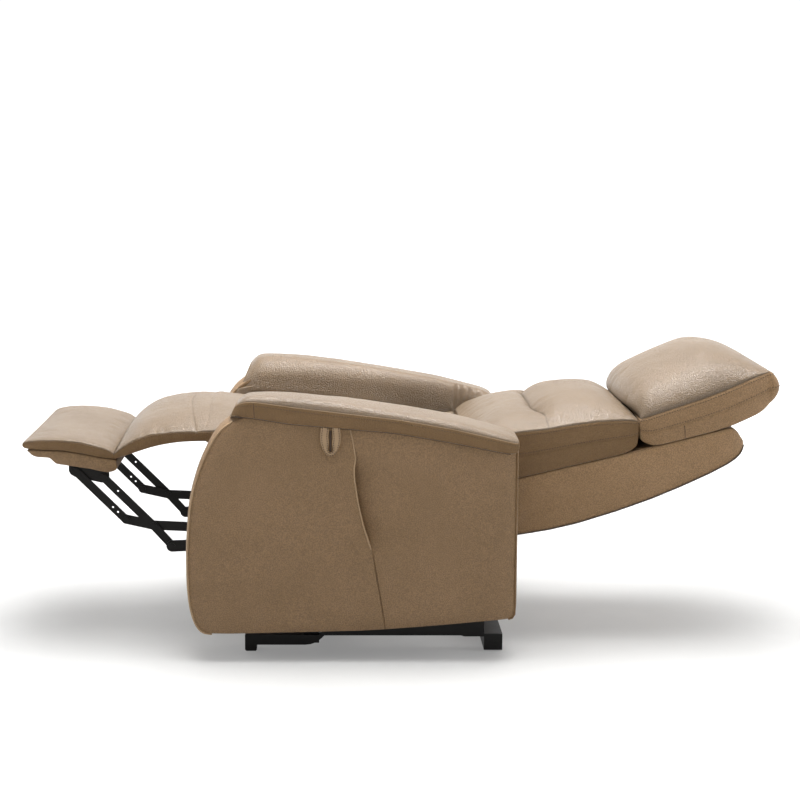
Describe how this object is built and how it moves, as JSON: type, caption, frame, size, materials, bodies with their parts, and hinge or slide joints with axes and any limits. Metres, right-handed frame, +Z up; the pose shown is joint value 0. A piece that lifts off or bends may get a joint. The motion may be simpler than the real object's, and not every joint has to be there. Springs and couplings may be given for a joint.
{
  "type": "lift recliner chair",
  "caption": "Padded leather chair on a low floor frame; the back reclines, the footrest folds and the whole seat tilts up to help a person stand.",
  "frame": {"origin": "on the floor, under the middle of the laid-out chair", "axes": "+X to the chair's left, +Y from the feet to the head, +Z up"},
  "size_m": [0.8212, 1.786, 0.7181],
  "materials": {
    "black_steel": "satin",
    "bright_steel": "satin",
    "black_plastic": "satin",
    "rubber": "matte",
    "timber": "matte",
    "webbing": "matte",
    "tan_leather": "satin",
    "brown_leather": "satin"
  },
  "bodies": {
    "base": {"base_rail_left": "black_steel", "base_rail_right": "black_steel", "base_front_tube": "black_steel", "base_rear_tube": "black_steel", "base_end_caps": "black_plastic", "floor_glides": "rubber", "lift_post_left": "black_steel", "lift_post_right": "black_steel", "lift_motor_pin": "bright_steel"},
    "lift_motor": {"lift_motor": "black_plastic"},
    "lift_rod": {"lift_rod": "bright_steel"},
    "chassis": {"side_plate_left": "black_steel", "side_plate_right": "black_steel", "front_cross_tube": "black_steel", "rear_cross_tube": "black_steel", "tilt_pins": "bright_steel", "pivot_pins": "bright_steel", "motor_pins": "bright_steel", "seat_rail_front": "timber", "seat_rail_rear": "timber", "seat_webbing": "webbing", "seat_cushion": "tan_leather", "arm_inner_left": "tan_leather", "arm_inner_right": "tan_leather", "arm_outer_left": "brown_leather", "arm_outer_right": "brown_leather", "arm_front_left": "brown_leather", "arm_front_right": "brown_leather", "arm_rear_left": "brown_leather", "arm_rear_right": "brown_leather", "arm_top_rails": "timber", "arm_cap_left": "tan_leather", "arm_cap_right": "tan_leather", "pocket_pouch": "webbing", "hanging_loop": "brown_leather", "control_box": "black_plastic", "back_motor": "black_plastic"},
    "back_rod": {"back_rod": "bright_steel"},
    "backrest": {"back_shell": "brown_leather", "back_side_rails": "timber", "back_webbing": "webbing", "back_brackets": "black_steel", "back_crank_tube": "black_steel", "back_crank_pin": "bright_steel", "back_skirt": "brown_leather", "back_cushion": "tan_leather", "head_cushion": "tan_leather"},
    "footrest": {"foot_board": "brown_leather", "foot_brackets": "black_steel", "bracket_rivets": "black_steel", "foot_pad": "tan_leather", "calf_pad": "tan_leather"},
    "upper_links": {"upper_swing_links": "black_steel", "swing_rivets": "black_steel", "drive_tube": "black_steel"},
    "lower_links": {"lower_swing_links": "black_steel", "lower_rivets": "black_steel"},
    "rear_link_pair": {"rear_links": "black_steel"},
    "front_link_pair": {"front_links": "black_steel"}
  },
  "joints": [
    {"name": "lift", "type": "hinge", "parent": "base", "child": "chassis", "pos_m": [0, -0.353, 0.32], "axis": [1, 0, 0], "range_deg": [0, 28]},
    {"name": "lift_motor_swing", "type": "hinge", "parent": "base", "child": "lift_motor", "pos_m": [0, -0.205, 0.062], "axis": [1, 0, 0], "range_deg": [0, 17.2]},
    {"name": "lift_stroke", "type": "slide", "parent": "lift_motor", "child": "lift_rod", "axis": [0, 0.6485, 0.7612], "range_m": [0, 0.13]},
    {"name": "recline", "type": "hinge", "parent": "chassis", "child": "backrest", "pos_m": [0, 0.165, 0.385], "axis": [1, 0, 0], "range_deg": [0, 64]},
    {"name": "back_stroke", "type": "slide", "parent": "chassis", "child": "back_rod", "axis": [0, 0.999, -0.0452], "range_m": [0, 0.129]},
    {"name": "footrest", "type": "hinge", "parent": "chassis", "child": "footrest", "pos_m": [0, -0.478, 0.47], "axis": [1, 0, 0], "range_deg": [0, 90]},
    {"name": "upper_swing", "type": "hinge", "parent": "chassis", "child": "upper_links", "pos_m": [0, -0.359, 0.351], "axis": [1, 0, 0], "range_deg": [0, 90]},
    {"name": "lower_swing", "type": "hinge", "parent": "chassis", "child": "lower_links", "pos_m": [0, -0.314, 0.301], "axis": [1, 0, 0], "range_deg": [0, 90]},
    {"name": "rear_link_turn", "type": "hinge", "parent": "upper_links", "child": "rear_link_pair", "pos_m": [0, -0.594, 0.281], "axis": [1, 0, 0], "range_deg": [-90, 0]},
    {"name": "front_link_turn", "type": "hinge", "parent": "upper_links", "child": "front_link_pair", "pos_m": [0, -0.661, 0.296], "axis": [1, 0, 0], "range_deg": [-90, 0]}
  ],
  "couplings": [
    {"joint": "lift_motor_swing", "follows": "lift", "ratio": 0.61},
    {"joint": "lift_stroke", "follows": "lift", "m_per_rad": 0.265},
    {"joint": "back_stroke", "follows": "recline", "m_per_rad": 0.115},
    {"joint": "upper_swing", "follows": "footrest", "ratio": 1},
    {"joint": "lower_swing", "follows": "footrest", "ratio": 1},
    {"joint": "rear_link_turn", "follows": "footrest", "ratio": -1},
    {"joint": "front_link_turn", "follows": "footrest", "ratio": -1}
  ]
}
